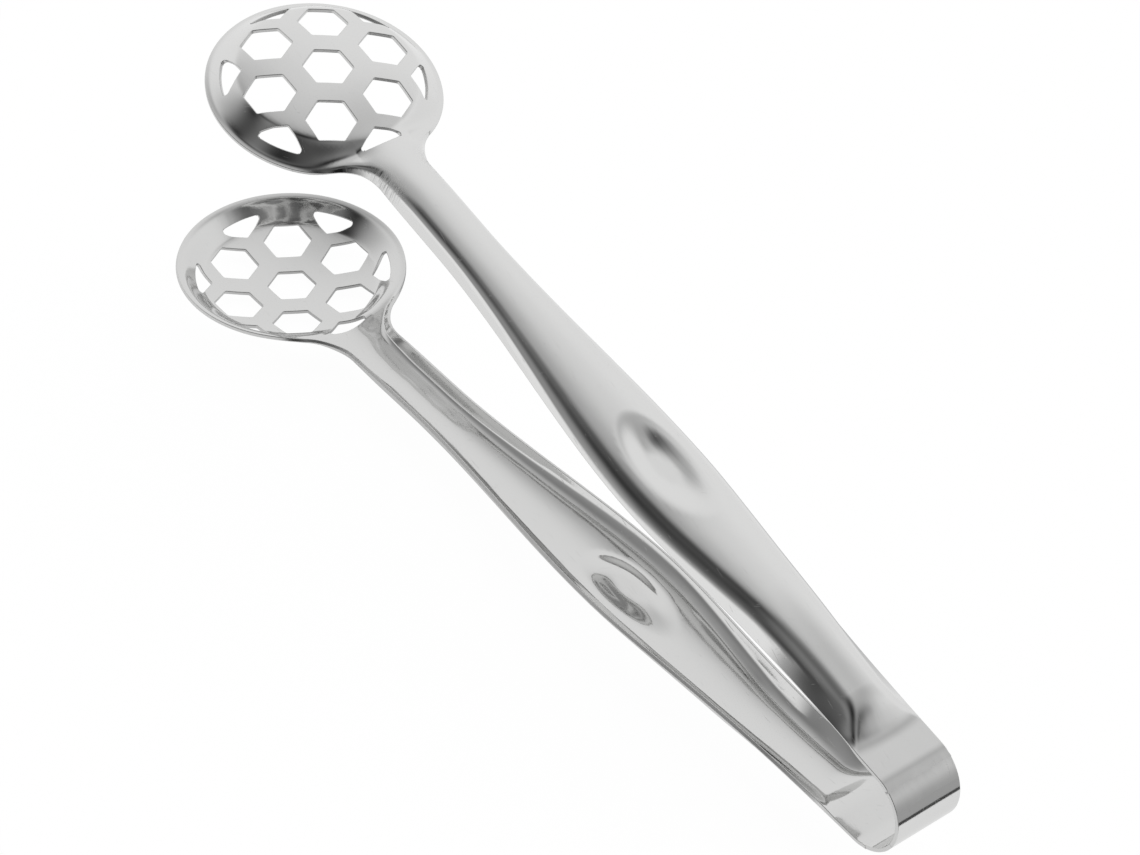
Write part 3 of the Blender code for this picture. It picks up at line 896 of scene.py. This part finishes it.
# The room as the steel mirrors it. Each part has its azimuth from +X, its elevation and its half
# width in degrees, and how much brighter it is than the rest.
ROOM = 0.951
ROOM_PARTS = (
    (-8.5, 16.5, 43.0, -1.24),
    (-112.0, 49.5, 13.0, -0.66),
    (75.0, 55.5, 15.0, -0.47),
    (-178.0, 63.0, 16.5, -0.36),
    (-127.0, 19.0, 16.5, -0.58),
    (-19.5, 76.0, 16.5, -0.71),
    (-92.0, 31.0, 11.0, -0.52),
    (-116.0, 68.5, 9.5, -0.37),
    (-62.5, 46.5, 13.0, -0.42),
    (36.5, 47.5, 30.0, 0.55),
    (32.5, 47.5, 13.0, -0.62),
)
DIMMEST = 0.02
DIM_SOFTNESS = 0.03
BRIGHTEST = 1.08
CONTRAST = 0.45
BENCH_TILT = math.radians(16.7)
BENCH_EDGE = 0.06
BENCH_SOFTNESS = 0.2
BENCH = 1.0
BACKDROP = 1.0

# The camera, in metres, and its lens in millimetres
CAMERA_AT = (0.37615, -0.38186, 0.51798)
CAMERA_TURN = (0.818558, 0.384609, 0.123233, 0.408474)
LENS = 106.76
SENSOR = 36.0
CLIP_START = 0.01
CLIP_END = 50.0


def painted_table_reflection(tree):
    """Painted reflection: how bright each place of the table is as the steel mirrors it."""
    place = tree.nodes.new("ShaderNodeSeparateXYZ")
    tree.links.new(tree.nodes.new("ShaderNodeTexCoord").outputs["Object"], place.inputs[0])
    x, y = place.outputs["X"], place.outputs["Y"]
    # Painted dark band and painted grey past the table's end, on its far side
    past_painted_band = maths(tree, "GREATER_THAN", x, TABLE_END + PAINTED_BAND_WIDTH)
    far_side = maths(tree, "GREATER_THAN", y, PAINTED_BAND_START)
    in_painted_band = maths(tree, "MULTIPLY", maths(tree, "SUBTRACT", 1.0, past_painted_band), far_side)
    # Painted shadow of the tongs on the table
    across = scaled(tree, y, SHADE_Y, SHADE_WIDTH)
    lengthwise = maths(tree, "POWER", scaled(tree, x, SHADE_X, SHADE_LENGTH), SHADE_POWER)
    shade = fading(tree, maths(tree, "MULTIPLY_ADD", across, across, lengthwise))
    shaded = maths(tree, "MULTIPLY_ADD", shade, -SHADE_DEPTH, 1.0)
    past_end = maths(tree, "GREATER_THAN", x, TABLE_END)
    return blended(tree, past_end, shaded, blended(tree, in_painted_band, BEYOND_LEVEL, PAINTED_BAND_LEVEL))


def add_table():
    """The table top. It glows towards the camera, so the tongs' shadow on it is very faint."""
    half = TABLE_HALF
    mesh = bpy.data.meshes.new("floor")
    corners = [(-half, -half, 0), (half, -half, 0), (half, half, 0), (-half, half, 0)]
    mesh.from_pydata(corners, [], [(0, 1, 2, 3)])
    floor = bpy.data.objects.new("floor", mesh)
    floor.location.z = -TABLE_DROP
    bpy.context.scene.collection.objects.link(floor)
    material = bpy.data.materials.new("floor_white")
    material.use_nodes = True
    tree = material.node_tree
    tree.nodes.clear()
    diffuse = tree.nodes.new("ShaderNodeBsdfDiffuse")
    diffuse.inputs["Color"].default_value = TABLE_WHITE
    path = tree.nodes.new("ShaderNodeLightPath")
    direct = maths(tree, "MAXIMUM", path.outputs["Is Camera Ray"], path.outputs["Is Transmission Ray"])
    seen = maths(tree, "MAXIMUM", direct, path.outputs["Is Glossy Ray"])
    glow = tree.nodes.new("ShaderNodeEmission")
    # The camera sees the table plain; the steel's reflections see the painted band, grey and shadow
    tree.links.new(blended(tree, direct, painted_table_reflection(tree), TABLE_SEEN), glow.inputs["Strength"])
    mix = tree.nodes.new("ShaderNodeMixShader")
    tree.links.new(maths(tree, "MULTIPLY", seen, TABLE_GLOW_SHARE), mix.inputs[0])
    tree.links.new(diffuse.outputs[0], mix.inputs[1])
    tree.links.new(glow.outputs[0], mix.inputs[2])
    out = tree.nodes.new("ShaderNodeOutputMaterial")
    tree.links.new(mix.outputs[0], out.inputs[0])
    mesh.materials.append(material)
    return floor


def room_part(tree, direction, azimuth, elevation, half_width):
    """1 in the middle of a round soft part of the room and a half at its half width."""
    turn, rise = math.radians(azimuth), math.radians(elevation)
    axis = (math.cos(rise) * math.cos(turn), math.cos(rise) * math.sin(turn), math.sin(rise))
    sharpness = math.log(2.0) / (1.0 - math.cos(math.radians(half_width)))
    near = maths(tree, "MULTIPLY_ADD", dotted(tree, direction, axis), sharpness, -sharpness)
    return maths(tree, "EXPONENT", near)


def add_studio():
    """Soft light from all round: the bright room with its dim parts, and a white bench below."""
    world = bpy.data.worlds.new("studio")
    bpy.context.scene.world = world
    world.use_nodes = True
    tree = world.node_tree
    direction = tree.nodes.new("ShaderNodeTexCoord").outputs["Generated"]
    parts = [(room_part(tree, direction, *where), amount) for *where, amount in ROOM_PARTS]
    room = maths(tree, "SMOOTH_MAX", summed(tree, ROOM, parts), DIMMEST, DIM_SOFTNESS)
    room = blended(tree, CONTRAST, room, spread(tree, room, DIMMEST, BRIGHTEST))
    bench_normal = (0.0, math.sin(BENCH_TILT), math.cos(BENCH_TILT))
    above = maths(tree, "MULTIPLY_ADD", dotted(tree, direction, bench_normal), 0.5 / BENCH_EDGE, 0.5)
    above = maths(tree, "SMOOTH_MAX", above, 0.0, BENCH_SOFTNESS)
    above = maths(tree, "SMOOTH_MIN", above, 1.0, BENCH_SOFTNESS)
    path = tree.nodes.new("ShaderNodeLightPath")
    direct = maths(tree, "MAXIMUM", path.outputs["Is Camera Ray"], path.outputs["Is Transmission Ray"])
    back = tree.nodes["Background"]
    back.inputs["Color"].default_value = (1.0, 1.0, 1.0, 1.0)
    lit = blended(tree, above, BENCH, room)
    tree.links.new(blended(tree, direct, lit, BACKDROP), back.inputs["Strength"])


def add_camera():
    """The camera, at the photograph's viewing angle."""
    data = bpy.data.cameras.new("camera")
    data.lens = LENS
    data.sensor_width = SENSOR
    data.clip_start = CLIP_START
    data.clip_end = CLIP_END
    camera = bpy.data.objects.new("camera", data)
    bpy.context.scene.collection.objects.link(camera)
    camera.rotation_mode = "QUATERNION"
    camera.location = CAMERA_AT
    camera.rotation_quaternion = Quaternion(CAMERA_TURN)
    bpy.context.scene.camera = camera


floor = add_table()
add_studio()
add_camera()
bpy.context.scene.view_settings.view_transform = "Standard"
